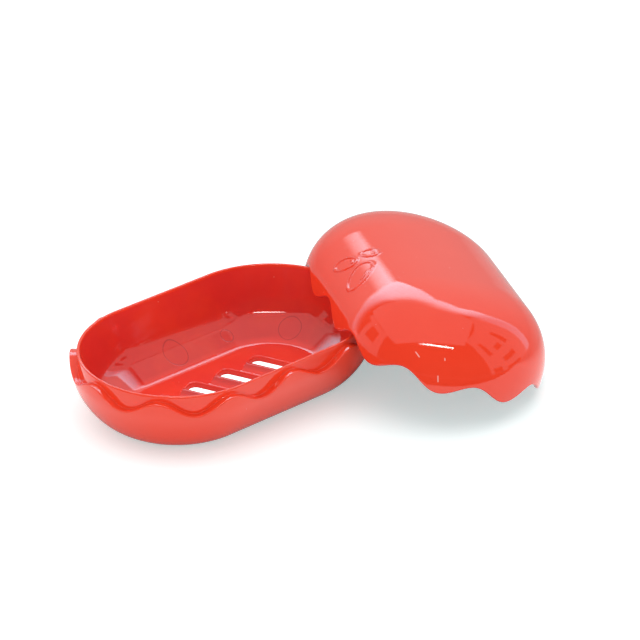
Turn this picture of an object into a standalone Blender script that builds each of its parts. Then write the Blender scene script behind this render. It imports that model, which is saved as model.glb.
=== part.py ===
"""Two-piece soap dish: a drained tray with a wavy ledge, and a domed lid leaned on its end.

Metres, +Z up. The origin is the middle of the tray's underside, and +X runs along the tray
towards the lid. Both pieces share one outline, a rectangle with full round ends.
"""

import math

import bmesh
import bpy
import numpy as np
from mathutils import Euler, Matrix

# Outline that both pieces share, measured outside
DISH_LENGTH = 0.115
DISH_WIDTH = 0.074

# Tray
RIM_HEIGHT = 0.025
RIM_WALL = 0.0011
LEDGE_HEIGHT = 0.02075
LEDGE_CHAMFER = 0.0005
BELLY_DRAW_IN = 0.0153
BELLY_POWER = 1.7
FLOOR_THICKNESS = 0.0017
FLOOR_INSET = 0.0260
BOWL_POWER = 1.9

# Wavy parting line: the tray's ledge and the lid's edge
WAVE_COUNT = 12
WAVE_HEIGHT = 0.0024

# Drain slots, the low lip round each and the sloped rib that stands along its side
SLOT_COUNT = 4
SLOT_PITCH = 0.0142
SLOT_LENGTH = 0.0176
SLOT_WIDTH = 0.0083
SLOT_CORNER = 0.0025
SLOT_LEAN = math.radians(24)
LIP_WIDTH = 0.0007
LIP_HEIGHT = 0.0004
RIB_HEIGHT = 0.0022
RIB_TOP_WIDTH = 0.0011
RIB_FOOT_WIDTH = 0.0031
RIB_TOP_LENGTH = 0.0158
RIB_FOOT_LENGTH = 0.0174
RIB_CORNER = 0.0005
RIB_BITE = 0.0005

# Lid
LID_RISE = 0.0262
LID_WALL = 0.0015
DOME_SPREAD_POWER = 2.494
DOME_RISE_POWER = 2.01

# Clearances: the closed lid from the rim's foot and from its top, and where the leaned lid rests
FIT_GAP = 0.0003
RIM_TOP_GAP = 0.0006
REST_GAP = 0.0003

# How the taken-off lid lies against the tray's end
LEAN_TURN = math.radians(65.34)
LEAN_PITCH = math.radians(1.1)
LEAN_AHEAD = 0.0694
LEAN_ASIDE = -0.0251

# Mesh fineness: points round the outline, rings down the belly, bowl and dome, points over the
# rim's round top and in each plan corner; then the samples and steps that seat the leaned lid
AROUND = 120
BELLY_RINGS = 10
BOWL_RINGS = 12
DOME_RINGS = 12
RIM_TOP_POINTS = 5
CORNER_POINTS = 4
SEAT_SAMPLES = 720
SEAT_STEPS = 30
SEAT_TILT_LIMIT = math.radians(45)

HALF_WIDTH = DISH_WIDTH / 2
STRAIGHT = DISH_LENGTH / 2 - HALF_WIDTH


def outline(count):
    """Core points, outward normals and arc lengths of the shared outline, evenly spaced.

    The outline is the core line from -STRAIGHT to +STRAIGHT on X, grown by HALF_WIDTH. It starts
    at the +X end and runs anticlockwise, so its normal turns with it round each end.
    """
    arc = math.pi * HALF_WIDTH
    total = 4 * STRAIGHT + 2 * arc
    s = np.arange(count) / count * total
    corners = [0, arc / 2, arc / 2 + 2 * STRAIGHT, arc * 1.5 + 2 * STRAIGHT, arc * 1.5 + 4 * STRAIGHT, total]
    angle = np.interp(s, corners, [0, math.pi / 2, math.pi / 2, 1.5 * math.pi, 1.5 * math.pi, 2 * math.pi])
    core = np.interp(s, corners, [STRAIGHT, STRAIGHT, -STRAIGHT, -STRAIGHT, STRAIGHT, STRAIGHT])
    normals = np.stack([np.cos(angle), np.sin(angle)], axis=1)
    return np.stack([core, np.zeros(count)], axis=1), normals, s, total


CORE, NORMAL, ARC, PERIMETER = outline(AROUND)


def wave(s):
    """Height of the parting line over its middle, at arc length s: a crest at each end and side."""
    return WAVE_HEIGHT * np.cos(2 * math.pi * WAVE_COUNT * s / PERIMETER)


def ring(inset, height):
    """Closed loop of points inside the outline by inset, at height; both may vary round the loop."""
    inset = np.broadcast_to(inset, (AROUND,))[:, None]
    height = np.broadcast_to(height, (AROUND,))[:, None]
    return np.hstack([CORE + (HALF_WIDTH - inset) * NORMAL, height])


def belly_inset(z):
    """Inset of the tray's outer wall at height z: a super-ellipse from the ledge down to the foot."""
    drop = np.clip(1 - z / LEDGE_HEIGHT, 0, 1)
    return BELLY_DRAW_IN * (1 - (1 - drop ** BELLY_POWER) ** (1 / BELLY_POWER))


def dome_inset(z, rise, half):
    """Inset of a dome's surface at height z, for a dome of the given rise and half width."""
    level = np.clip(z / rise, 0, 1)
    return half * (1 - (1 - level ** DOME_RISE_POWER) ** (1 / DOME_SPREAD_POWER))


def dome_height(inset, rise, half):
    """Height of the same dome's surface at an inset."""
    across = np.clip(1 - inset / half, 0, 1)
    return rise * (1 - across ** DOME_SPREAD_POWER) ** (1 / DOME_RISE_POWER)


def lid_inner_inset(z):
    """Inset of the lid's inner face at height z over its middle edge."""
    return LID_WALL + dome_inset(z, LID_RISE - LID_WALL, HALF_WIDTH - LID_WALL)


RIM_INSET = float(lid_inner_inset(RIM_HEIGHT - LEDGE_HEIGHT)) + RIM_TOP_GAP


def material(name, colour, roughness):
    """A glossy plastic."""
    finish = bpy.data.materials.new(name)
    finish.use_nodes = True
    shader = finish.node_tree.nodes["Principled BSDF"]
    shader.inputs["Base Color"].default_value = (*colour, 1)
    shader.inputs["Roughness"].default_value = roughness
    shader.inputs["Metallic"].default_value = 0
    return finish


def solid_from_rings(name, rings, finish):
    """One closed object from a stack of loops, each joined to the next, with a flat face at both ends."""
    work = bmesh.new()
    loops = [[work.verts.new(point) for point in loop] for loop in rings]
    for low, high in zip(loops, loops[1:]):
        for k in range(AROUND):
            after = (k + 1) % AROUND
            work.faces.new((low[k], low[after], high[after], high[k]))
    work.faces.new(list(reversed(loops[0])))
    work.faces.new(loops[-1])
    mesh = bpy.data.meshes.new(name)
    work.to_mesh(mesh)
    work.free()
    made = bpy.data.objects.new(name, mesh)
    bpy.context.collection.objects.link(made)
    made.data.materials.append(finish)
    mesh.shade_smooth()
    mesh.set_sharp_from_angle(angle=math.radians(35))
    return made


def rounded_outline(length, width, corner, beside=0.0):
    """Plan outline with rounded corners, long side along a slot, moved sideways across it by beside."""
    quarter = np.linspace(0, math.pi / 2, CORNER_POINTS)
    half = np.array([length / 2 - corner, width / 2 - corner])
    flat = []
    for k, sign in enumerate(((1, 1), (-1, 1), (-1, -1), (1, -1))):
        turn = quarter + k * math.pi / 2
        flat.append(half * sign + corner * np.stack([np.cos(turn), np.sin(turn)], axis=1))
    spin = SLOT_LEAN - math.pi / 2
    turned = np.array([[math.cos(spin), -math.sin(spin)], [math.sin(spin), math.cos(spin)]])
    across = np.array([math.cos(SLOT_LEAN), math.sin(SLOT_LEAN)])
    return np.vstack(flat) @ turned.T + across * beside


def guide(name, low, high, bottom, top):
    """A block at each slot, from the plan outline low at height bottom to the outline high at top."""
    work = bmesh.new()
    count = len(low)
    for k in range(SLOT_COUNT):
        centre = np.array([(k - (SLOT_COUNT - 1) / 2) * SLOT_PITCH, 0])
        foot = [work.verts.new((x, y, bottom)) for x, y in low + centre]
        head = [work.verts.new((x, y, top)) for x, y in high + centre]
        for j in range(count):
            after = (j + 1) % count
            work.faces.new((foot[j], foot[after], head[after], head[j]))
        work.faces.new(list(reversed(foot)))
        work.faces.new(head)
    bmesh.ops.recalc_face_normals(work, faces=work.faces)
    mesh = bpy.data.meshes.new(name)
    work.to_mesh(mesh)
    work.free()
    made = bpy.data.objects.new(name, mesh)
    bpy.context.collection.objects.link(made)
    made.hide_render = True
    made.display_type = "WIRE"
    return made


def apply_boolean(target, tool, operation):
    """Add or cut a guide shape; the modifier stays live on the target."""
    step = target.modifiers.new(f"{operation.lower()}_{tool.name}", "BOOLEAN")
    step.operation = operation
    step.object = tool
    step.solver = "EXACT"


def rib_outline(level):
    """Plan outline of the rib's guide at a level: 0 at its foot on the floor, 1 at its top.

    Its outer side and both ends slope, and its inner side reaches RIB_BITE into the slot.
    """
    width = RIB_FOOT_WIDTH + (RIB_TOP_WIDTH - RIB_FOOT_WIDTH) * level + RIB_BITE
    length = RIB_FOOT_LENGTH + (RIB_TOP_LENGTH - RIB_FOOT_LENGTH) * level
    return rounded_outline(length, width, RIB_CORNER, RIB_BITE - (SLOT_WIDTH + width) / 2)


def make_tray(finish):
    """The tray: rounded belly, wavy ledge, thin rim, bowl, and a flat floor with ribbed drain slots."""
    ledge = LEDGE_HEIGHT + wave(ARC)
    rings = []
    for step in np.linspace(0, 1, BELLY_RINGS) ** 2:
        height = step * (ledge - LEDGE_CHAMFER)
        rings.append(ring(belly_inset(height), height))
    rings.append(ring(belly_inset(ledge) + LEDGE_CHAMFER, ledge))
    rings.append(ring(lid_inner_inset(wave(ARC)) + FIT_GAP, ledge))
    lip = RIM_WALL / 2
    for turn in np.linspace(math.pi, 0, RIM_TOP_POINTS):
        rings.append(ring(RIM_INSET + lip + lip * math.cos(turn), RIM_HEIGHT - lip + lip * math.sin(turn)))
    bowl_top = RIM_HEIGHT - lip
    bowl_inset = RIM_INSET + RIM_WALL
    for turn in np.linspace(0, math.pi / 2, BOWL_RINGS + 1)[1:]:
        drop = math.sin(turn) ** (2 / BOWL_POWER)
        draw = 1 - max(math.cos(turn), 0) ** (2 / BOWL_POWER)
        height = bowl_top - (bowl_top - FLOOR_THICKNESS) * drop
        rings.append(ring(bowl_inset + (FLOOR_INSET - bowl_inset) * draw, height))
    tray = solid_from_rings("tray", rings, finish)
    sunk = FLOOR_THICKNESS / 2
    lip_top = FLOOR_THICKNESS + LIP_HEIGHT
    rib_top = FLOOR_THICKNESS + RIB_HEIGHT
    slot = rounded_outline(SLOT_LENGTH, SLOT_WIDTH, SLOT_CORNER)
    around = 2 * LIP_WIDTH
    lip_edge = rounded_outline(SLOT_LENGTH + around, SLOT_WIDTH + around, SLOT_CORNER + LIP_WIDTH)
    lips = guide("slot_lip_guide", lip_edge, lip_edge, sunk, lip_top)
    rib_foot = rib_outline((sunk - FLOOR_THICKNESS) / RIB_HEIGHT)
    ribs = guide("rib_guide", rib_foot, rib_outline(1), sunk, rib_top)
    slots = guide("slot_cutter", slot, slot, -sunk, rib_top + sunk)
    apply_boolean(tray, lips, "UNION")
    apply_boolean(tray, ribs, "UNION")
    apply_boolean(tray, slots, "DIFFERENCE")
    return tray


def make_lid(finish):
    """The lid as it sits closed: wavy edge at height 0, dome up to LID_RISE, one even wall."""
    edge = wave(ARC)
    inner_rise = LID_RISE - LID_WALL
    outer = []
    inner = []
    for step in np.sin(np.linspace(0, math.pi / 2, DOME_RINGS + 1)[:-1]):
        height = edge + (LID_RISE - edge) * step
        outer.append(ring(dome_inset(height, LID_RISE, HALF_WIDTH), height))
        height = edge + (inner_rise - edge) * step
        inner.append(ring(lid_inner_inset(height), height))
    return solid_from_rings("lid", list(reversed(inner)) + outer, finish)


def rim_gap(tilt):
    """Least height of the leaned lid over the tray's rim, once its edge stands on the table.

    Points of the rim are carried into the lid's own frame. Under the lid's wall the solid
    starts at the wavy edge, and further in it starts at the inner face of the dome.
    """
    core, normal, s, _ = outline(SEAT_SAMPLES)
    turned = np.array(Euler((tilt, LEAN_PITCH, LEAN_TURN), "XYZ").to_matrix())
    edge = np.hstack([core + HALF_WIDTH * normal, wave(s)[:, None]])
    stand = REST_GAP - float((edge @ turned.T)[:, 2].min())
    place = np.array([LEAN_AHEAD, LEAN_ASIDE, stand])
    least = math.inf
    for inset in np.linspace(RIM_INSET, RIM_INSET + RIM_WALL, 3):
        rim = np.hstack([core + (HALF_WIDTH - inset) * normal, np.full((SEAT_SAMPLES, 1), RIM_HEIGHT)])
        local = (rim - place) @ turned
        past_core = local[:, 0] - np.clip(local[:, 0], -STRAIGHT, STRAIGHT)
        depth = HALF_WIDTH - np.hypot(past_core, local[:, 1])
        inner = dome_height(depth - LID_WALL, LID_RISE - LID_WALL, HALF_WIDTH - LID_WALL)
        away = np.hypot(local[:, None, 0] - edge[None, :, 0], local[:, None, 1] - edge[None, :, 1])
        brim = wave(s)[np.argmin(away, axis=1)]
        under = np.where(depth < LID_WALL, brim, np.maximum(inner, brim))
        covered = depth > 0
        if covered.any():
            least = min(least, float((under - local[:, 2])[covered].min()))
    return least, place


def seat_lid():
    """Tilt and place of the leaned lid: its edge on the table and its skirt just over the rim."""
    low = 0.0
    high = SEAT_TILT_LIMIT
    for _ in range(SEAT_STEPS):
        middle = (low + high) / 2
        if rim_gap(middle)[0] < REST_GAP:
            low = middle
        else:
            high = middle
    return high, rim_gap(high)[1]


def build():
    """Clear the scene, then make the tray and the leaned lid."""
    for item in list(bpy.data.objects):
        bpy.data.objects.remove(item, do_unlink=True)
    tray_finish = material("tray_plastic", (0.78, 0.075, 0.045), 0.22)
    lid_finish = material("lid_plastic", (0.82, 0.095, 0.06), 0.18)
    make_tray(tray_finish)
    lid = make_lid(lid_finish)
    tilt, place = seat_lid()
    lift = bpy.data.objects.new("lid_lift", None)
    bpy.context.collection.objects.link(lift)
    lift.matrix_world = Matrix.Translation(place)
    lid.parent = lift
    lid.rotation_euler = Euler((tilt, LEAN_PITCH, LEAN_TURN), "XYZ")
    print(f"lid tilt {math.degrees(tilt):.2f} degrees, place in mm {np.round(place * 1000, 2)}")


build()
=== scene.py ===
"""Looks of a two-piece soap dish in glossy coral plastic: fine tray and lid, floor, light and camera.

Metres, +Z up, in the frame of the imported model. The lid lies taken off, leaned on the tray's end.
"""

import math

import bmesh
import bpy
import numpy as np
from mathutils import Euler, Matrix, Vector
from mathutils.geometry import delaunay_2d_cdt


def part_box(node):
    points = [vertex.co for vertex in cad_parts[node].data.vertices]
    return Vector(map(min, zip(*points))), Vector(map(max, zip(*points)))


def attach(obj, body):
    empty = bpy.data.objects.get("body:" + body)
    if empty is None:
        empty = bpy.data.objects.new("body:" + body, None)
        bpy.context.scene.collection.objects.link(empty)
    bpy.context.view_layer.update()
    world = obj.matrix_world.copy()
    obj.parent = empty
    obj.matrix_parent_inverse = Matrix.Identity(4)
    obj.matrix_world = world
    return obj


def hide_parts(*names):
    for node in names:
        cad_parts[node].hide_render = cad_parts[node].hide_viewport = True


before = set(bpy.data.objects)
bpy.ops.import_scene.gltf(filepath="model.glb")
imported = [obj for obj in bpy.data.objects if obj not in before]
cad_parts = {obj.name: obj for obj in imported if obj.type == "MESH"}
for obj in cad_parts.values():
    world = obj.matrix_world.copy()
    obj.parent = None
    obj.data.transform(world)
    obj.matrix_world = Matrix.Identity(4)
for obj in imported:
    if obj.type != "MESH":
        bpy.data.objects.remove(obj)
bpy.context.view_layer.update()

# Outline that both pieces share, and the wavy parting line
DISH_LENGTH = 0.115
DISH_WIDTH = 0.074
WAVE_COUNT = 12
WAVE_HEIGHT = 0.0024
HALF_WIDTH = DISH_WIDTH / 2
STRAIGHT = DISH_LENGTH / 2 - HALF_WIDTH
PERIMETER = 4 * STRAIGHT + 2 * math.pi * HALF_WIDTH

# Tray
RIM_HEIGHT = 0.025
RIM_WALL = 0.0011
LEDGE_HEIGHT = 0.02075
LEDGE_ROUND = 0.00035
RIM_FILLET = 0.00028
BELLY_DRAW_IN = 0.0153
BELLY_POWER = 1.7
FLOOR_THICKNESS = 0.0017
FLOOR_HALF = 0.0140

# Bends of the bowl's wall: distances from the core line where each starts and ends, and its angle
BOWL_BENDS = ((0.0160, 0.0182, math.radians(31)), (0.0255, 0.0309, math.radians(45.2)))
BOWL_RINGS = 56

# Drain slots
SLOT_COUNT = 4
SLOT_PITCH = 0.0142
SLOT_LENGTH = 0.0176
SLOT_WIDTH = 0.0083
SLOT_CORNER = 0.0025
SLOT_LEAN = math.radians(24)
SLOT_SIDE = np.array([math.cos(SLOT_LEAN), math.sin(SLOT_LEAN)])
SLOT_AHEAD = np.array([-math.sin(SLOT_LEAN), math.cos(SLOT_LEAN)])
LIP_WIDTH = 0.0009
LIP_HEIGHT = 0.0005
LIP_FULLNESS = 0.7
RIB_HEIGHT = 0.0022
RIB_TOP_WIDTH = 0.0011
RIB_FOOT_WIDTH = 0.0031
RIB_TOP_LENGTH = 0.0158
RIB_FOOT_LENGTH = 0.0174
RIB_INNER_FALL = 0.0006
RIB_INNER_END = 0.0010
RIB_ROUND = 0.00022

# How far a slot's rings spread past its lip, how much further on the rib's side, and by which power
# they crowd at the edge
COLLAR_MARGIN = 0.0002
COLLAR_RIB_REACH = 0.0024
COLLAR_CROWDING = 1.35

# Rings down a slot's wall: share of the edge's height, and how far the ring stands back
SLOT_WALL = ((0.66, 0), (0.33, 0), (0.12, 0), (0.04, 0.00005), (0.0, 0.0002))

# Lid
LID_RISE = 0.0262
LID_WALL = 0.0015
DOME_SPREAD_POWER = 2.494
DOME_RISE_POWER = 2.01
EDGE_ROUND = 0.0005
RIM_TOP_GAP = 0.0006
LEAN = Euler((math.radians(17.22), math.radians(1.1), math.radians(65.34)), "XYZ")

# The emblem of soap bubbles: the height of its middle on the lid, then centres and radii
EMBLEM_LEVEL = 0.0170
BUBBLES = ((-0.0060, 0.0004, 0.0054), (0.0054, -0.0020, 0.0037), (0.0036, 0.0066, 0.0027))
BEAD_WIDTH = 0.00055
BEAD_HEIGHT = 0.00040

# A bubble's glint: its radius and height as shares, the angle of its middle and half its span
GLINT_RADIUS = 0.62
GLINT_HEIGHT = 0.8
GLINT_TURN = 2.2
GLINT_HALF = 0.5

# How strongly the lid's columns and rings gather at the emblem, and where up the dome the rings do
COLUMN_GATHER = 0.62
RING_GATHER = 0.55
RING_GATHER_AT = 0.38

# Ejector pins that left a ring in the bowl, its groove painted darker as shade: centre on the floor
# plan, and radius
PIN_MARKS = ((-0.0028, 0.0240, 0.0044), (0.0197, 0.0230, 0.0023), (0.0400, 0.0124, 0.0041),
             (-0.0028, -0.0240, 0.0044), (0.0197, -0.0230, 0.0023), (-0.0400, -0.0124, 0.0041))

# Short pale streaks, the two ends of each: on the tray a painted glint along the ledge's edge, on
# the lid short pale lines
TRAY_PAINTED_GLINTS = (((-0.0004, -0.0352, 0.0212), (0.0008, -0.0357, 0.0216)),
               ((0.0016, -0.0357, 0.0218), (0.0030, -0.0359, 0.0216)))
LID_PALE_STREAKS = (((0.0328, -0.0611, 0.0296), (0.0331, -0.0633, 0.0278)),
              ((0.0390, -0.0692, 0.0284), (0.0389, -0.0694, 0.0270)),
              ((0.0358, -0.0694, 0.0228), (0.0354, -0.0699, 0.0201)))

# Colours of the plastic: satin outer side and glossier mould side of each piece, the mould side's
# colour painted darker as shade
TRAY_SATIN = (0.88, 0.052, 0.020)
TRAY_SHADED_INNER = (0.75, 0.036, 0.029)
LID_SATIN = (0.86, 0.050, 0.019)
LID_SHADED_INNER = (0.68, 0.030, 0.022)

# Colours over the plastic: a mottle, painted shade in the pin rings, one pink for dust specks, pale
# streaks and a painted glint, then a painted glow low on the mould side, and the heights where that
# glow starts and is full
MOTTLE = (0.89, 0.060, 0.024, 1)
PAINTED_PIN_SHADE = (0.45, 0.012, 0.010, 1)
DUST_STREAK_AND_GLINT_PINK = (0.95, 0.50, 0.45, 1)
PAINTED_GLOW_COLOUR = (0.18, 0.012, 0.006, 1)
PAINTED_GLOW_HEIGHTS = (0.0036, 0.0019)

# Three sets of hairline scratches: turn, stretch and scale of their noise
SCRATCHES = (((0.3, 0.2, 0.9), (1, 26, 14), 90), ((0.1, 0.5, -0.6), (22, 1, 17), 80),
             ((0.7, 0.1, 0.2), (19, 23, 1), 70))

# Directions on the floor: towards the camera's right, straight away from the camera, and along and
# across the leaned lid
RIGHTWARD = (0.7562, -0.6544, 0.0)
AWAY = (0.6544, 0.7562, 0.0)
LID_ALONG = (0.417, 0.909, 0.0)
LID_ACROSS = (0.909, -0.417, 0.0)

# Middle of the leaned lid and half its size, along and across it
LID_MIDDLE = (0.0061, 0.0736)
LID_HALVES = (0.055, 0.036)

# Colours of the floor for soft light, for mirror rays and for the camera, and its own light
WHITE = (1, 1, 1, 1)
FLOOR_PLAIN = (0.80, 0.80, 0.80, 1)
FLOOR_MIRRORED = (0.45, 0.45, 0.45, 1)
FLOOR_SEEN = (0.97, 0.88, 0.88, 1)
FLOOR_GLOW = (0.245, 0.435, 0.435, 1)
FLOOR_SIZE = 2.5

# Painted light on the floor under the drain slots, where the tray's shadow falls: scale of its
# oval, where it starts and is full, and its gain
PAINTED_LIGHT_OVAL = (0.5, 1.1, 0)
PAINTED_LIGHT_REACH = (0.020, 0.012)
PAINTED_LIGHT_GAIN = 2.0

# The mirrored light table ends this far in front of the dish, softly, and fades behind its middle
TABLE_REACH = 0.11
TABLE_EDGE = 0.006
TABLE_FADE = 0.07
TABLE_BACK_SHARE = 0.15

# Painted shadow: it is dimmer by this share under the lid and beside the tray, from the first reach
# to the second
SHADE_SHARE = 0.85
LID_SHADE = (1.5, 0.6)
TRAY_SHADE = (0.050, 0.026)

# Levels of light, where 1 shows as white. The paper's climbs by PAPER_CLIMB a degree, and the band
# has BAND_SIDE_SHARE of its level at its sides.
FRONT_LEVEL = 1.68
UPPER_FRONT_LEVEL = 0.35
OVERHEAD_LEVEL = 1.70
UPPER_BACK_LEVEL = 0.90
LOW_BACK_LEVEL = 1.15
ROOM_LEVEL = 0.06
PAPER_LEVEL = 0.56
PAPER_CLIMB = 0.020
BAND_LEVEL = 6.4
WINDOW_LEVEL = 0.85
PANEL_LEVEL = 1.1
STRIP_LEVEL = 36.0
BAND_SIDE_SHARE = 0.3
BAND_TINT = (0.48, 0.98, 1.18, 1)

# Top edges of the mirrored paper and band: degrees right of straight away, and rise
PAPER_TOP = ((-66, 0), (-61, 2), (-52, 19), (-42, 25), (-33, 30), (-26, 29.5), (-17, 29.5), (-11, 31.5),
             (-4, 40), (15, 54), (36, 52), (49, 36), (54, 15), (58, 0))
BAND_TOP = ((-75, 0), (-68, 8), (-60, 24), (-52, 38), (-37, 53), (-22, 58), (-7, 61), (8, 63.5),
            (22, 64.5), (37, 62), (50, 57), (60, 42), (63, 20), (67, 0))

# Mirrored windows and the dark gaps in them: least and greatest turn, least and greatest rise
RIGHT_WINDOW = (57, 124, -5, 54)
RIGHT_GAPS = ((81, 92, 26, 32), (80, 98, 10, 16), (79, 100, -4, 3), (61, 72, -4, 7), (66, 72, 25, 43),
              (98, 104, 25, 41))
LEFT_WINDOW = (-112, -72, -2, 37)
LEFT_GAPS = ((-97, -82, 14, 30), (-112, -104, 5, 30, 1.5))

# The camera: focal length and film width in millimetres, place, and the point it looks at
LENS = 190.93
FILM_WIDTH = 36
CAMERA_PLACE = (-0.64375, -0.79407, 0.58780)
CAMERA_AIM = (0.0582, 0.01713, 0)


def outline(turns):
    """Core points, outward normals and arc lengths at shares (0 to 1) of the way round the outline.

    The outline is the core line from -STRAIGHT to +STRAIGHT on X, grown by HALF_WIDTH. It starts
    at the +X end and runs anticlockwise, so its normal turns with it round each end.
    """
    arc = math.pi * HALF_WIDTH
    s = turns * PERIMETER
    run = 2 * STRAIGHT
    corners = [0, arc / 2, arc / 2 + run, arc * 1.5 + run, arc * 1.5 + 2 * run, PERIMETER]
    angle = np.interp(s, corners, [0, math.pi / 2, math.pi / 2, 1.5 * math.pi, 1.5 * math.pi, 2 * math.pi])
    core = np.interp(s, corners, [STRAIGHT, STRAIGHT, -STRAIGHT, -STRAIGHT, STRAIGHT, STRAIGHT])
    normals = np.stack([np.cos(angle), np.sin(angle)], axis=1)
    return np.stack([core, np.zeros(len(turns))], axis=1), normals, s


def wave(s):
    """Height of the parting line over its middle: a cosine of arc length with WAVE_COUNT crests."""
    return WAVE_HEIGHT * np.cos(2 * math.pi * WAVE_COUNT * s / PERIMETER)


def dome_inset(z, rise, half):
    """Inset of a dome at height z: a super-ellipse of its rise and half width."""
    level = np.clip(z / rise, 0, 1)
    return half * (1 - (1 - level ** DOME_RISE_POWER) ** (1 / DOME_SPREAD_POWER))


def belly_inset(z):
    """Inset of the tray's outer wall at height z: a super-ellipse from the ledge down to the foot."""
    drop = np.clip(1 - z / LEDGE_HEIGHT, 0, 1)
    return BELLY_DRAW_IN * (1 - (1 - drop ** BELLY_POWER) ** (1 / BELLY_POWER))


def bowl_section(top_out, top):
    """Distances from the core line and heights down the bowl's wall, from just under the rim.

    The wall's slope is the sum of two bends, each turning evenly over its stretch: one at the foot
    of the wall and one up to the rim. Heights add up that slope and are fitted between floor and top.
    """
    out = np.linspace(FLOOR_HALF, top_out, 600)
    slope = 0 * out
    for start, end, turn in BOWL_BENDS:
        slope += turn * np.clip((out - start) / (end - start), 0, 1)
    climb = np.concatenate([[0], np.cumsum(np.tan((slope[1:] + slope[:-1]) / 2) * np.diff(out))])
    height = FLOOR_THICKNESS + climb * (top - FLOOR_THICKNESS) / climb[-1]
    length = np.concatenate([[0], np.cumsum(np.hypot(np.diff(out), np.diff(height)))])
    picks = np.linspace(length[-1], 0, BOWL_RINGS)[1:]
    return np.interp(picks, length, out), np.interp(picks, length, height)


def sweep(core, normals, inset, height):
    """Grid of points, one row per ring: the outline drawn in by inset and raised to height.

    inset and height have one row per ring and one column per outline point.
    """
    reach = HALF_WIDTH - inset
    grid = np.empty((*inset.shape, 3))
    grid[..., 0] = core[:, 0] + reach * normals[:, 0]
    grid[..., 1] = core[:, 1] + reach * normals[:, 1]
    grid[..., 2] = height
    return grid


def tube_faces(rows, columns, start=0):
    """Quads between neighbouring rows of a grid whose rows are closed loops."""
    row = np.arange(rows - 1)[:, None] * columns
    here = np.arange(columns)[None, :]
    after = (here + 1) % columns
    quads = np.stack([row + here, row + after, row + columns + after, row + columns + here], axis=-1)
    return quads.reshape(-1, 4) + start


def new_object(name, points, faces, finish, polished):
    """Mesh object from points and faces, its doubles merged, smooth apart from edges over 50 degrees.

    The last argument is 1 at the points of the mirror-smooth mould side, whose colour is painted
    darker as shade, and 0 elsewhere, and is kept as an attribute for the finish.
    """
    mesh = bpy.data.meshes.new(name)
    mesh.from_pydata(points, [], faces)
    mesh.attributes.new("polished", "FLOAT", "POINT").data.foreach_set("value", polished)
    work = bmesh.new()
    work.from_mesh(mesh)
    bmesh.ops.remove_doubles(work, verts=work.verts, dist=2e-6)
    bmesh.ops.dissolve_degenerate(work, edges=work.edges, dist=1e-7)
    bmesh.ops.recalc_face_normals(work, faces=work.faces)
    work.to_mesh(mesh)
    work.free()
    mesh.shade_smooth()
    mesh.set_sharp_from_angle(angle=math.radians(50))
    made = bpy.data.objects.new(name, mesh)
    bpy.context.scene.collection.objects.link(made)
    mesh.materials.append(finish)
    return made


def lid_inner_inset(z):
    """Inset of the lid's inner face at height z over its middle edge."""
    return LID_WALL + dome_inset(z, LID_RISE - LID_WALL, HALF_WIDTH - LID_WALL)


RIM_INSET = float(lid_inner_inset(RIM_HEIGHT - LEDGE_HEIGHT)) + RIM_TOP_GAP


def slot_loop(count):
    """Core points, outward normals, and how far those face sideways, round one slot's edge.

    The edge is a rounded rectangle: a smaller rectangle grown by SLOT_CORNER. Its long sides lean
    by SLOT_LEAN. Points are spread evenly over straights and corners together.
    """
    half_long = SLOT_LENGTH / 2 - SLOT_CORNER
    half_wide = SLOT_WIDTH / 2 - SLOT_CORNER
    bend = SLOT_CORNER * math.pi / 2
    lengths = [2 * half_long, bend, 2 * half_wide, bend, 2 * half_long, bend, 2 * half_wide, bend]
    knots = np.concatenate([[0], np.cumsum(lengths)])
    s = np.arange(count) / count * knots[-1]
    quarter = math.pi / 2
    turn = np.interp(s, knots, quarter * np.array([0, 0, 1, 1, 2, 2, 3, 3, 4]))
    along = np.interp(s, knots, [-half_long, half_long, half_long, half_long, half_long, -half_long,
                                 -half_long, -half_long, -half_long])
    across = np.interp(s, knots, [half_wide, half_wide, half_wide, -half_wide, -half_wide, -half_wide,
                                  -half_wide, half_wide, half_wide])
    core = across[:, None] * SLOT_SIDE + along[:, None] * SLOT_AHEAD
    normals = np.cos(turn)[:, None] * SLOT_SIDE + np.sin(turn)[:, None] * SLOT_AHEAD
    return core, normals, np.cos(turn)


def smooth_step(x, low, high):
    """0 below low, 1 above high and a cubic ease between."""
    t = np.clip((x - low) / (high - low), 0, 1)
    return t * t * (3 - 2 * t)


def soft_min(first, second, reach):
    """The lesser of two fields, with a round of about reach where they cross."""
    near = np.clip(0.5 + 0.5 * (second - first) / reach, 0, 1)
    return second + (first - second) * near - reach * near * (1 - near)


def rib_height(across, along):
    """Height over the floor of one slot's rib: the least of its slopes, its level top and its end ramps.

    across and along are measured from the slot's middle. The rib stands on the side of lesser
    across, its outer side and both ends slope, and past the slot's corners its inner side falls off.
    """
    foot = -SLOT_WIDTH / 2 - RIB_FOOT_WIDTH
    outer = RIB_HEIGHT * (across - foot) / (RIB_FOOT_WIDTH - RIB_TOP_WIDTH)
    ends = RIB_HEIGHT * (RIB_FOOT_LENGTH / 2 - np.abs(along)) / (RIB_FOOT_LENGTH - RIB_TOP_LENGTH) * 2
    inner = RIB_HEIGHT * (RIB_INNER_END - SLOT_WIDTH / 2 - across) / RIB_INNER_FALL
    body = soft_min(outer, np.full_like(outer, RIB_HEIGHT), RIB_ROUND)
    return np.maximum(soft_min(soft_min(body, ends, 2 * RIB_ROUND), inner, 2 * RIB_ROUND), 0)


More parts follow.
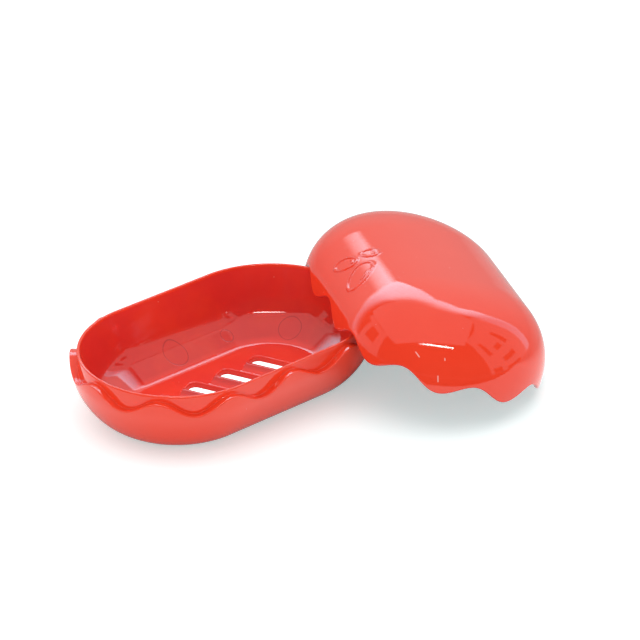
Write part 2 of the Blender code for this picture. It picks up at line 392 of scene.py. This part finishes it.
def slot_collar(centre, count=200, rows=34):
    """Rings of points from the floor, over a slot's rounded lip or rib and down its wall to z = 0.

    Height over the floor is the greater of the rib and the lip. The lip is a bead along the slot's
    edge: a parabola across it, raised to the power LIP_FULLNESS. Rings spread outwards further on
    the rib's side, so that they take in its foot.
    """
    core, normals, facing = slot_loop(count)
    reach = LIP_WIDTH + COLLAR_MARGIN + COLLAR_RIB_REACH * smooth_step(-facing, 0.25, 0.8)
    share = np.linspace(1, 0, rows) ** COLLAR_CROWDING
    offset = share[:, None] * reach
    plan = core + (SLOT_CORNER + offset[..., None]) * normals
    across = plan @ SLOT_SIDE
    endways = plan @ SLOT_AHEAD
    swell = np.clip(1 - (2 * offset / LIP_WIDTH - 1) ** 2, 0, 1)
    lip = LIP_HEIGHT * swell ** LIP_FULLNESS
    rib = rib_height(across, endways)
    drop = np.clip(1 - offset / RIB_ROUND, 0, 1)
    rib = rib - RIB_ROUND * (1 - np.sqrt(1 - drop ** 2)) * (rib > RIB_ROUND)
    height = FLOOR_THICKNESS + np.maximum(lip, rib)
    height[0] = FLOOR_THICKNESS
    rings = np.empty((rows + len(SLOT_WALL), count, 3))
    rings[:rows, :, :2] = plan + centre
    rings[:rows, :, 2] = height
    for k, (level, out) in enumerate(SLOT_WALL):
        rings[rows + k, :, :2] = core + (SLOT_CORNER + out) * normals + centre
        rings[rows + k, :, 2] = height[-1] * level
    return rings


def plate(outer, holes, z, upward):
    """Points and triangles of a flat plate at z between one outer loop and the loops of its holes.

    A Delaunay fill that keeps the loops as edges cuts it into triangles, and those whose middle lies
    outside the outer loop or in a hole are dropped.
    """
    loops = [outer] + holes
    points = np.vstack(loops)
    edges = []
    start = 0
    for loop in loops:
        index = np.arange(len(loop)) + start
        edges += list(zip(index.tolist(), np.roll(index, -1).tolist()))
        start += len(loop)
    verts, _, faces, _, _, _ = delaunay_2d_cdt([Vector(p) for p in points.tolist()], edges, [], 1, 1e-9)
    flat = np.array([tuple(v) for v in verts])
    faces = np.array(faces)
    middle = flat[faces].mean(axis=1)
    keep = np.ones(len(faces), bool)
    for hole in holes:
        keep &= ~inside(middle, hole)
    keep &= inside(middle, outer)
    faces = faces[keep]
    if not upward:
        faces = faces[:, ::-1]
    return np.column_stack([flat, np.full(len(flat), z)]), faces


def inside(points, loop):
    """True for the points inside a closed loop, by counting how often a ray to +X crosses it."""
    after = np.roll(loop, -1, axis=0)
    px = points[:, 0, None]
    py = points[:, 1, None]
    spans = (loop[:, 1] > py) != (after[:, 1] > py)
    rise = after[:, 1] - loop[:, 1]
    rise = np.where(rise == 0, 1e-12, rise)
    cross = loop[:, 0] + (py - loop[:, 1]) * (after[:, 0] - loop[:, 0]) / rise
    return (np.sum(spans & (px < cross), axis=1) % 2) == 1


class Wire:
    """A socket carrying a number; arithmetic on it adds Math nodes."""

    def __init__(self, graph, socket):
        self.graph = graph
        self.socket = socket

    def maths(self, operation, *terms):
        node = self.graph.add("ShaderNodeMath", {"operation": operation}, dict(enumerate(terms)))
        return Wire(self.graph, node.outputs[0])

    def __add__(self, other):
        return self.maths("ADD", self, other)

    def __radd__(self, other):
        return self.maths("ADD", other, self)

    def __sub__(self, other):
        return self.maths("SUBTRACT", self, other)

    def __rsub__(self, other):
        return self.maths("SUBTRACT", other, self)

    def __mul__(self, other):
        return self.maths("MULTIPLY", self, other)

    def __rmul__(self, other):
        return self.maths("MULTIPLY", other, self)

    def __truediv__(self, other):
        return self.maths("DIVIDE", self, other)

    def __rtruediv__(self, other):
        return self.maths("DIVIDE", other, self)

    def __pow__(self, other):
        return self.maths("POWER", self, other)

    def maximum(self, other):
        return self.maths("MAXIMUM", self, other)

    def absolute(self):
        return self.maths("ABSOLUTE", self)

    def ease(self, low, high):
        """0 at low and 1 at high, smooth between; low may be the greater."""
        settings = {"interpolation_type": "SMOOTHSTEP", "clamp": True}
        if low < high:
            node = self.graph.add("ShaderNodeMapRange", settings,
                                  {"Value": self, "From Min": low, "From Max": high})
            return Wire(self.graph, node.outputs["Result"])
        node = self.graph.add("ShaderNodeMapRange", settings,
                              {"Value": self, "From Min": high, "From Max": low})
        return 1 - Wire(self.graph, node.outputs["Result"])


class Graph:
    """A node tree being filled."""

    def __init__(self, tree):
        self.tree = tree

    def add(self, kind, settings=None, values=None):
        """A node of that kind: its settings first, then values or links of its input sockets."""
        node = self.tree.nodes.new(kind)
        for key, value in (settings or {}).items():
            if key == "stops":
                self.fill_ramp(node.color_ramp, value)
            else:
                setattr(node, key, value)
        for key, value in (values or {}).items():
            socket = node.inputs[key]
            if isinstance(value, Wire):
                value = value.socket
            if isinstance(value, bpy.types.NodeSocket):
                self.tree.links.new(value, socket)
            else:
                socket.default_value = value
        return node

    @staticmethod
    def fill_ramp(ramp, stops):
        """Sets a ramp's stops, given as (place, grey level)."""
        ends = (ramp.elements[0], ramp.elements[1])
        for element, (place, level) in zip(ends, (stops[0], stops[-1])):
            element.position = place
            element.color = (level, level, level, 1)
        for place, level in stops[1:-1]:
            ramp.elements.new(place).color = (level, level, level, 1)

    def mix(self, factor, first, second):
        """Colour mix of two colours by a factor."""
        node = self.add("ShaderNodeMix", {"data_type": "RGBA"}, {0: factor, 6: first, 7: second})
        return node.outputs[2]

    def dot(self, vector, direction):
        """How far a vector reaches along a fixed direction."""
        node = self.add("ShaderNodeVectorMath", {"operation": "DOT_PRODUCT"}, {0: vector, 1: direction})
        return Wire(self, node.outputs["Value"])

    def distance(self, vector, point):
        """Distance from a vector socket to a fixed point."""
        node = self.add("ShaderNodeVectorMath", {"operation": "DISTANCE"}, {0: vector, 1: point})
        return Wire(self, node.outputs["Value"])

    def noise(self, vector, scale, detail=2.0, roughness=0.5, distortion=0.0):
        """Noise value from 0 to 1 about features of 1 / scale metres."""
        node = self.add("ShaderNodeTexNoise", {"noise_dimensions": "3D"},
                        {"Vector": vector, "Scale": scale, "Detail": detail, "Roughness": roughness,
                         "Distortion": distortion})
        return Wire(self, node.outputs["Fac"])


def coral_plastic(name, satin, shaded_inner, pins, pale_marks):
    """Moulded coral plastic: one colour through, with a satin outer side and a glossier mould side.

    The second and third arguments give the colours of the outer and mould sides; the mould side's
    darker colour is painted shade. pins are ejector pin marks on the mould side, rings around (x, y)
    of a radius, each ring painted darker as shade in its groove. The last argument lists pale streaks
    from one point to another; on the tray they are a painted glint along the ledge's edge. Over all lie
    a faint mottle, a few dust specks, hairline scratches and the grain of the mould. Low down on the
    mould side, near the light table, a painted glow lightens the colour.
    """
    finish = bpy.data.materials.new(name)
    finish.use_nodes = True
    finish.node_tree.nodes.clear()
    graph = Graph(finish.node_tree)
    place = graph.add("ShaderNodeTexCoord").outputs["Object"]
    polished = Wire(graph, graph.add("ShaderNodeAttribute", {"attribute_name": "polished"}).outputs["Fac"])
    cloud = graph.noise(place, 55, 3)
    grain = graph.noise(place, 2600, 2, 0.6)
    peel = graph.noise(place, 420, 2)
    dust = graph.noise(place, 900, 1).ease(0.80, 0.84)
    scratches = cloud * 0
    for turn, stretch, scale in SCRATCHES:
        turned = graph.add("ShaderNodeMapping", {}, {"Vector": place, "Rotation": turn, "Scale": stretch})
        scratches = scratches.maximum(graph.noise(turned.outputs[0], scale, 2, 0.4, 0.15).ease(0.71, 0.77))
    level = graph.add("ShaderNodeVectorMath", {"operation": "MULTIPLY"}, {0: place, 1: (1, 1, 0)}).outputs[0]
    rings = cloud * 0
    discs = cloud * 0
    for x, y, radius in pins:
        gap = graph.distance(level, (x, y, 0))
        rings = rings.maximum((gap - radius).absolute().ease(0.00026, 0.00006))
        discs = discs.maximum(gap.ease(radius, radius - 0.0002))
    rings = rings * polished
    discs = discs * polished
    streaked = cloud * 0
    for start, end in pale_marks:
        middle = (Vector(start) + Vector(end)) / 2
        half = (Vector(end) - Vector(start)) / 2
        reach = graph.dot(place, half.normalized()) - middle.dot(half.normalized())
        off_line = (graph.distance(place, middle) ** 2 - reach ** 2).maximum(0) ** 0.5
        streak = off_line.ease(0.00030, 0.00010) * reach.absolute().ease(half.length, half.length * 0.6)
        streaked = streaked.maximum(streak)
    # The mould side's darker colour is painted shade
    colour = graph.mix(polished, (*satin, 1), (*shaded_inner, 1))
    colour = graph.mix(cloud.ease(0.35, 0.75) * 0.5, colour, MOTTLE)
    # Pin rings painted darker as shade in their grooves
    colour = graph.mix(rings * 0.6, colour, PAINTED_PIN_SHADE)
    # One pale pink for dust specks, the lid's pale streaks and the tray's painted glint on its ledge
    colour = graph.mix((streaked * 0.7).maximum(dust * 0.25), colour, DUST_STREAK_AND_GLINT_PINK)
    roughness = 0.022 - 0.006 * polished + 0.02 * cloud + 0.02 * grain + 0.10 * scratches + 0.03 * discs
    roughness = roughness + 0.3 * streaked + 0.25 * dust
    height = 0.5 * peel + 0.25 * grain * (1 - 0.6 * polished) - 0.35 * scratches - 0.9 * rings - 0.8 * streaked
    bump = graph.add("ShaderNodeBump", {}, {"Strength": 0.10, "Distance": 0.00012, "Height": height})
    # Painted glow that lightens the mould side low down
    painted_glow = polished * graph.dot(place, (0, 0, 1)).ease(*PAINTED_GLOW_HEIGHTS)
    shader = graph.add("ShaderNodeBsdfPrincipled", {}, {
        "Base Color": colour, "Roughness": roughness, "Metallic": 0.0, "IOR": 1.5, "Normal": bump.outputs[0],
        "Emission Color": graph.mix(painted_glow, (0, 0, 0, 1), PAINTED_GLOW_COLOUR), "Emission Strength": 1.0})
    graph.add("ShaderNodeOutputMaterial", {}, {"Surface": shader.outputs[0]})
    return finish


def make_tray(finish):
    """The tray as one closed surface: a profile swept round the outline, and two plates with slots.

    The profile is the belly's super-ellipse, a rounded ledge edge, a fillet, the upright rim with a
    round top, and the bowl's two bends. The parting line's wave moves the ledge up and down.
    """
    columns = 560
    core, normals, s = outline(np.arange(columns) / columns)
    ledge = LEDGE_HEIGHT + wave(s)
    insets = []
    heights = []
    for step in np.linspace(0, 1, 34) ** 1.7:
        height = step * (ledge - LEDGE_ROUND)
        insets.append(belly_inset(height))
        heights.append(height)
    brow = belly_inset(ledge - LEDGE_ROUND)
    for turn in np.linspace(0, math.pi / 2, 7)[1:]:
        insets.append(brow + LEDGE_ROUND * (1 - math.cos(turn)))
        heights.append(ledge - LEDGE_ROUND * (1 - math.sin(turn)))
    shelf = brow + LEDGE_ROUND
    for step in (0.4, 0.8):
        insets.append(shelf + (RIM_INSET - RIM_FILLET - shelf) * step)
        heights.append(ledge)
    for turn in np.linspace(0, math.pi / 2, 9):
        insets.append(RIM_INSET - RIM_FILLET * (1 - math.sin(turn)) + 0 * ledge)
        heights.append(ledge + RIM_FILLET * (1 - math.cos(turn)))
    lip = RIM_WALL / 2
    neck = ledge + RIM_FILLET
    for step in (0.33, 0.67):
        insets.append(RIM_INSET + 0 * ledge)
        heights.append(neck + (RIM_HEIGHT - lip - neck) * step)
    for turn in np.linspace(math.pi, 0, 13):
        insets.append(RIM_INSET + lip + lip * math.cos(turn) + 0 * ledge)
        heights.append(RIM_HEIGHT - lip + lip * math.sin(turn) + 0 * ledge)
    bowl_top = RIM_HEIGHT - lip
    bowl_inset = RIM_INSET + RIM_WALL
    first_bowl = len(insets)
    for out, height in zip(*bowl_section(HALF_WIDTH - bowl_inset, bowl_top)):
        insets.append(HALF_WIDTH - out + 0 * ledge)
        heights.append(height + 0 * ledge)
    grid = sweep(core, normals, np.array(insets), np.array(heights))
    points = [grid.reshape(-1, 3)]
    # The bowl side is marked for its glossier finish and its colour painted darker as shade
    polished = [np.repeat(np.arange(len(insets)) >= first_bowl, columns)]
    faces = tube_faces(len(insets), columns).tolist()
    count = grid.shape[0] * columns
    centres = [np.array([(k - (SLOT_COUNT - 1) / 2) * SLOT_PITCH, 0.0]) for k in range(SLOT_COUNT)]
    collars = [slot_collar(centre) for centre in centres]
    for collar in collars:
        points.append(collar.reshape(-1, 3))
        polished.append(np.ones(len(points[-1])))
        faces += tube_faces(collar.shape[0], collar.shape[1], count)[:, ::-1].tolist()
        count += collar.shape[0] * collar.shape[1]
    for outer, loops, z, upward in (
            (grid[-1, :, :2], [c[0, :, :2] for c in collars], FLOOR_THICKNESS, True),
            (grid[0, :, :2], [c[-1, :, :2] for c in collars], 0.0, False)):
        flat, triangles = plate(outer, loops, z, upward)
        points.append(flat)
        polished.append(np.full(len(flat), upward))
        faces += (triangles + count).tolist()
        count += len(flat)
    return new_object("soap_tray", np.vstack(points), faces, finish, np.concatenate(polished).astype(float))


def emblem(along, up):
    """Height of the raised emblem on the lid's side, in metres along the side and up over its middle.

    It is three soap bubbles: each a round bead along a ring, with a short arc of bead inside for its
    glint. The height is the root of 1 less the square of the distance off the bead's line, counted
    in bead widths, and a glint has a share of that under the root.
    """
    height = 0 * along
    for x, y, radius in BUBBLES:
        from_middle = np.hypot(along - x, up - y)
        ring = np.abs(from_middle - radius)
        turn = np.arctan2(up - y, along - x)
        past_end = GLINT_RADIUS * radius * np.clip(np.abs(turn - GLINT_TURN) - GLINT_HALF, 0, 3)
        glint = np.hypot(from_middle - GLINT_RADIUS * radius, past_end)
        beads = np.maximum(1 - (ring / BEAD_WIDTH) ** 2, GLINT_HEIGHT * (1 - (glint / BEAD_WIDTH) ** 2))
        height = np.maximum(height, beads)
    return BEAD_HEIGHT * np.sqrt(np.maximum(height, 0))


def make_lid(finish):
    """The lid as one closed shell: outer and inner super-ellipse domes joined by a rounded wavy edge.

    Columns and rings gather where the emblem stands. The emblem moves points along the dome's own
    normal, on the straight side that faces +Y before the shell is leaned. The leaned shell is then
    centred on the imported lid's box.
    """
    columns = 640
    share = np.arange(columns) / columns
    share = share + COLUMN_GATHER * np.sin(4 * math.pi * share) / (4 * math.pi)
    core, normals, s = outline(share)
    edge = wave(s)
    insets = []
    heights = []
    inner_rise = LID_RISE - LID_WALL
    foot = edge + EDGE_ROUND
    for level in np.sin(np.linspace(math.pi / 2, 0, 33)):
        height = foot + (inner_rise - foot) * level
        insets.append(lid_inner_inset(height))
        heights.append(height)
    inner_foot = lid_inner_inset(foot)
    outer_foot = dome_inset(foot, LID_RISE, HALF_WIDTH)
    for turn in np.linspace(0, math.pi / 2, 6)[1:]:
        insets.append(inner_foot - EDGE_ROUND * (1 - math.cos(turn)))
        heights.append(foot - EDGE_ROUND * math.sin(turn))
    for turn in np.linspace(math.pi / 2, 0, 6)[:-1]:
        insets.append(outer_foot + EDGE_ROUND * (1 - math.cos(turn)))
        heights.append(foot - EDGE_ROUND * math.sin(turn))
    first_outer = len(insets)
    angles = np.linspace(0, 1, 97)
    dense = angles - RING_GATHER * np.sin(2 * math.pi * (angles - RING_GATHER_AT)) / (2 * math.pi)
    dense = (dense - dense[0]) / (dense[-1] - dense[0])
    for level in np.sin(dense * math.pi / 2):
        height = foot + (LID_RISE - foot) * level
        insets.append(dome_inset(height, LID_RISE, HALF_WIDTH))
        heights.append(height)
    insets = np.array(insets)
    heights = np.array(heights)
    grid = sweep(core, normals, insets, heights)
    outer = grid[first_outer:]
    slope_in = np.gradient(insets[first_outer:], axis=0)
    slope_up = np.gradient(heights[first_outer:], axis=0)
    stretch = np.hypot(slope_in, slope_up) + 1e-12
    climb = np.cumsum(stretch, axis=0)
    side_column = columns // 4
    middle = np.interp(EMBLEM_LEVEL, heights[first_outer:, side_column], climb[:, side_column])
    raised = emblem(outer[..., 0], climb - middle) * (normals[:, 1] > 0.9)
    outer[..., 0] += raised * normals[:, 0] * slope_up / stretch
    outer[..., 1] += raised * normals[:, 1] * slope_up / stretch
    outer[..., 2] += raised * slope_in / stretch
    turned = grid.reshape(-1, 3) @ np.array(LEAN.to_matrix()).T
    low, high = (np.array(corner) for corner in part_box("lid"))
    turned += (low + high) / 2 - (turned.min(axis=0) + turned.max(axis=0)) / 2
    # The inner shell is marked for the glossier finish and its colour painted darker as shade
    inner = np.repeat(np.arange(len(insets)) < first_outer, columns).astype(float)
    return new_object("soap_lid", turned, tube_faces(len(insets), columns).tolist(), finish, inner)


def make_floor():
    """A pale floor that keeps the soft shadows.

    Camera rays see a little light of its own, and more of it under the tray's drain slots, painted
    light where the tray's shadow falls. Mirror rays see a light table that ends in front of the dish,
    fades behind it, and has painted shadow where the lid covers it and close beside the tray.
    """
    finish = bpy.data.materials.new("pale_floor")
    finish.use_nodes = True
    finish.node_tree.nodes.clear()
    graph = Graph(finish.node_tree)
    place = graph.add("ShaderNodeTexCoord").outputs["Object"]
    rays = graph.add("ShaderNodeLightPath").outputs
    camera = Wire(graph, rays["Is Camera Ray"])
    mirror = Wire(graph, rays["Is Glossy Ray"]).maximum(rays["Is Transmission Ray"])
    ahead = 0 - graph.dot(place, AWAY)
    beyond = ahead.ease(TABLE_REACH - TABLE_EDGE, TABLE_REACH + TABLE_EDGE)
    off_centre = graph.add("ShaderNodeVectorMath", {"operation": "MULTIPLY"}, {0: place, 1: PAINTED_LIGHT_OVAL})
    # Painted light: brighter floor under the drain slots, where the tray's shadow falls
    under = graph.distance(off_centre.outputs[0], (0, 0, 0)).ease(*PAINTED_LIGHT_REACH)
    front = ahead.ease(-TABLE_FADE, 0.0)
    along = (graph.dot(place, LID_ALONG) - LID_MIDDLE[0]) / LID_HALVES[0]
    across = (graph.dot(place, LID_ACROSS) - LID_MIDDLE[1]) / LID_HALVES[1]
    covered = (along ** 2 + across ** 2).ease(*LID_SHADE)
    beside = (graph.dot(place, (1, 0, 0)).absolute() - STRAIGHT).maximum(0)
    close = (beside ** 2 + graph.dot(place, (0, 1, 0)) ** 2).ease(TRAY_SHADE[0] ** 2, TRAY_SHADE[1] ** 2)
    plain = graph.mix(mirror, FLOOR_PLAIN, FLOOR_MIRRORED)
    matt = graph.add("ShaderNodeBsdfDiffuse", {}, {"Color": graph.mix(camera, plain, FLOOR_SEEN)})
    dim = graph.add("ShaderNodeEmission", {}, {"Color": WHITE, "Strength": ROOM_LEVEL})
    table = TABLE_BACK_SHARE + (1 - TABLE_BACK_SHARE) * front
    # Painted shadow on the mirrored table under the lid and close beside the tray
    table = table * (1 - SHADE_SHARE * covered) * (1 - SHADE_SHARE * close)
    glow = graph.add("ShaderNodeEmission", {}, {
        "Color": graph.mix(mirror, FLOOR_GLOW, WHITE),
        "Strength": camera * (1 + PAINTED_LIGHT_GAIN * under) + mirror * table})
    lit = graph.add("ShaderNodeAddShader", {}, {0: matt.outputs[0], 1: glow.outputs[0]})
    both = graph.add("ShaderNodeMixShader", {}, {0: beyond * mirror, 1: lit.outputs[0], 2: dim.outputs[0]})
    graph.add("ShaderNodeOutputMaterial", {}, {"Surface": both.outputs[0]})
    mesh = bpy.data.meshes.new("floor")
    corners = [(x * FLOOR_SIZE, y * FLOOR_SIZE, 0) for x, y in ((-1, -1), (1, -1), (1, 1), (-1, 1))]
    mesh.from_pydata(corners, [], [(0, 1, 2, 3)])
    mesh.materials.append(finish)
    floor = bpy.data.objects.new("floor", mesh)
    bpy.context.scene.collection.objects.link(floor)


def light_room():
    """Even light from all round, and for mirror rays the room that the gloss shows.

    turn is degrees to the right of straight towards the camera, back_turn of straight away from it,
    and rise degrees over the horizon. Behind the dish is white paper with a bright band over it, a
    window stands at each side, and a soft panel with a strip along its front edge hangs overhead.
    forward and sideways place those two on the ceiling, in shares of its height. The camera sees
    plain white.
    """
    world = bpy.data.worlds.new("studio")
    bpy.context.scene.world = world
    world.use_nodes = True
    world.node_tree.nodes.clear()
    graph = Graph(world.node_tree)
    ray = graph.add("ShaderNodeTexCoord").outputs["Generated"]
    ahead = graph.dot(ray, AWAY)
    side = graph.dot(ray, RIGHTWARD)
    up = graph.dot(ray, (0, 0, 1))
    degrees = 180 / math.pi
    back_turn = side.maths("ARCTAN2", side, ahead) * degrees
    turn = side.maths("ARCTAN2", side, 0 - ahead) * degrees
    rise = up.maths("ARCSINE", up) * degrees

    def skyline(points):
        """Rise of a boundary at each back_turn, from points joined by straight lines."""
        stops = [((t + 180) / 360, r / 90) for t, r in points]
        ramp = graph.add("ShaderNodeValToRGB", {"stops": stops}, {0: (back_turn + 180) / 360})
        return Wire(graph, ramp.outputs["Color"]) * 90

    def pane(low_turn, high_turn, low_rise, high_rise, soft=0.6):
        """1 inside a box of directions."""
        wide = turn.ease(low_turn - soft, low_turn + soft) * turn.ease(high_turn + soft, high_turn - soft)
        tall = rise.ease(low_rise - soft, low_rise + soft) * rise.ease(high_rise + soft, high_rise - soft)
        return wide * tall

    def window(whole, gaps):
        """1 inside a box of directions but outside the gaps in it."""
        dark = pane(*gaps[0])
        for gap in gaps[1:]:
            dark = dark.maximum(pane(*gap))
        return pane(*whole) * (1 - dark)

    paper_edge = 1.7 + 2.4 * back_turn.ease(-10, -28)
    paper = ((skyline(PAPER_TOP) - rise) / paper_edge).ease(-1, 1)
    band_edge = 7 + 7 * back_turn.ease(-35, -60)
    band = ((skyline(BAND_TOP) - rise) / band_edge).ease(-1, 1)
    band = band * back_turn.ease(-105, -50) * back_turn.ease(72, 64)
    windows = window(RIGHT_WINDOW, RIGHT_GAPS).maximum(window(LEFT_WINDOW, LEFT_GAPS))
    over = up.maximum(0.02)
    forward = (0 - ahead) / over
    sideways = side / over
    panel = ((forward + 0.69 - 0.171 * (sideways + 1.31)).ease(-0.015, 0.015)
             * (0.61 - 0.126 * (sideways - 0.70) - forward).ease(-0.015, 0.015)
             * (0.66 - sideways).ease(-0.02, 0.02) * (sideways + 1.29).ease(-0.02, 0.02))
    strip = ((forward - 0.800).absolute().ease(0.040, 0.022) * (0.44 - sideways).ease(-0.01, 0.01)
             * (sideways + 0.42).ease(-0.01, 0.25))
    mirrored = ROOM_LEVEL + WINDOW_LEVEL * windows
    mirrored = mirrored.maximum(PANEL_LEVEL * panel).maximum(STRIP_LEVEL * strip)
    middle = back_turn.ease(-60, -24) * back_turn.ease(56, 40)
    band_level = BAND_LEVEL * (BAND_SIDE_SHARE + (1 - BAND_SIDE_SHARE) * middle)
    paper_level = PAPER_LEVEL + PAPER_CLIMB * rise
    mirrored = mirrored * (1 - band) + band_level * band
    mirrored = mirrored * (1 - paper) + paper_level * paper
    rays = graph.add("ShaderNodeLightPath").outputs
    mirror = Wire(graph, rays["Is Glossy Ray"]).maximum(rays["Is Transmission Ray"])
    camera = Wire(graph, rays["Is Camera Ray"])
    front = turn.absolute().ease(105, 75)
    low = rise.ease(35, 15)
    overhead = rise.ease(50, 70)
    around = (front * (FRONT_LEVEL * low + UPPER_FRONT_LEVEL * (1 - low))
              + (1 - front) * (LOW_BACK_LEVEL * low + UPPER_BACK_LEVEL * (1 - low)))
    soft = OVERHEAD_LEVEL * overhead + around * (1 - overhead)
    level = soft * (1 - mirror) + mirrored * mirror
    level = level * (1 - camera) + camera
    tint = graph.mix(mirror * band * (1 - paper), WHITE, BAND_TINT)
    background = graph.add("ShaderNodeBackground", {}, {"Color": tint, "Strength": level})
    graph.add("ShaderNodeOutputWorld", {}, {"Surface": background.outputs[0]})


def add_camera():
    """The photograph's viewpoint: a long lens, raised a little under 29 degrees."""
    data = bpy.data.cameras.new("camera")
    data.lens = LENS
    data.sensor_width = FILM_WIDTH
    camera = bpy.data.objects.new("camera", data)
    camera.location = CAMERA_PLACE
    aim = Vector(CAMERA_AIM) - camera.location
    camera.rotation_euler = aim.to_track_quat("-Z", "Y").to_euler()
    bpy.context.scene.collection.objects.link(camera)
    bpy.context.scene.camera = camera


tray_finish = coral_plastic("tray_coral", TRAY_SATIN, TRAY_SHADED_INNER, PIN_MARKS, TRAY_PAINTED_GLINTS)
lid_finish = coral_plastic("lid_coral", LID_SATIN, LID_SHADED_INNER, [], LID_PALE_STREAKS)
tray = make_tray(tray_finish)
lid = make_lid(lid_finish)
for piece, body, node, slot in ((tray, "tray_body", "tray", "tray_plastic"),
                                (lid, "lid_body", "lid", "lid_plastic")):
    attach(piece, body)
    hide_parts(node)
make_floor()
light_room()
add_camera()
bpy.context.scene.view_settings.view_transform = "Standard"
